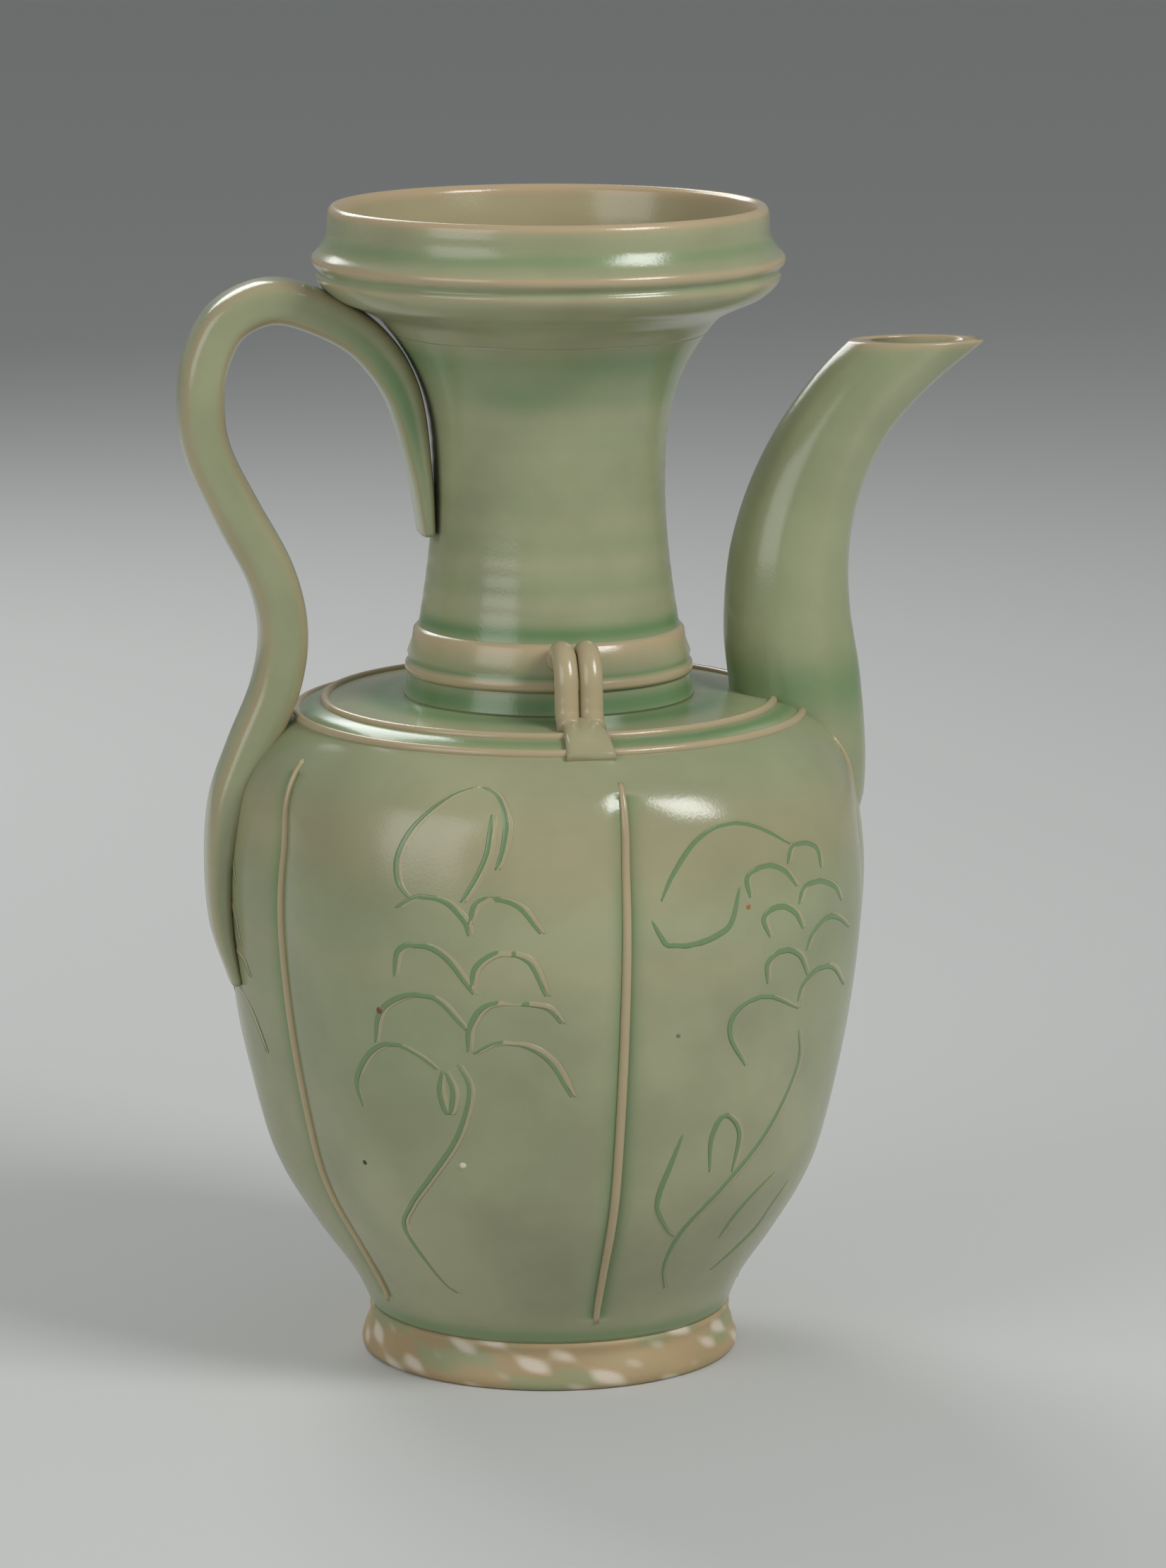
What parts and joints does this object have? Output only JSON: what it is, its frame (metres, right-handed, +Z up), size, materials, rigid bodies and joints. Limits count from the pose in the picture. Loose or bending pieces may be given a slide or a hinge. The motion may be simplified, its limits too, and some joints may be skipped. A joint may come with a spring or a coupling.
{
  "type": "celadon ewer",
  "caption": "Lobed ceramic ewer with a turned foot, waisted neck, dish mouth, pouring spout and strap handle.",
  "frame": {"origin": "on the ground under the middle of the whole ewer, spout and handle included", "axes": "+Z up, +X towards the spout, -X towards the handle"},
  "size_m": [0.1676, 0.1336, 0.24],
  "materials": {
    "celadon_glaze": "glossy translucent grey-green glaze over incised clay",
    "bare_clay": "matt, thinly glazed tan clay"
  },
  "bodies": {
    "root": {"foot_ring": "bare_clay", "body": "celadon_glaze", "shoulder_ring_inner": "celadon_glaze", "shoulder_ring_outer": "celadon_glaze", "neck": "celadon_glaze", "neck_band": "celadon_glaze", "mouth_dish": "celadon_glaze", "spout": "celadon_glaze", "handle": "celadon_glaze", "lug_front_left_strand": "celadon_glaze", "lug_front_right_strand": "celadon_glaze", "lug_front_tab": "celadon_glaze", "lug_back_left_strand": "celadon_glaze", "lug_back_right_strand": "celadon_glaze", "lug_back_tab": "celadon_glaze", "rib_1": "celadon_glaze", "rib_2": "celadon_glaze", "rib_3": "celadon_glaze", "rib_4": "celadon_glaze", "rib_5": "celadon_glaze"}
  },
  "joints": []
}
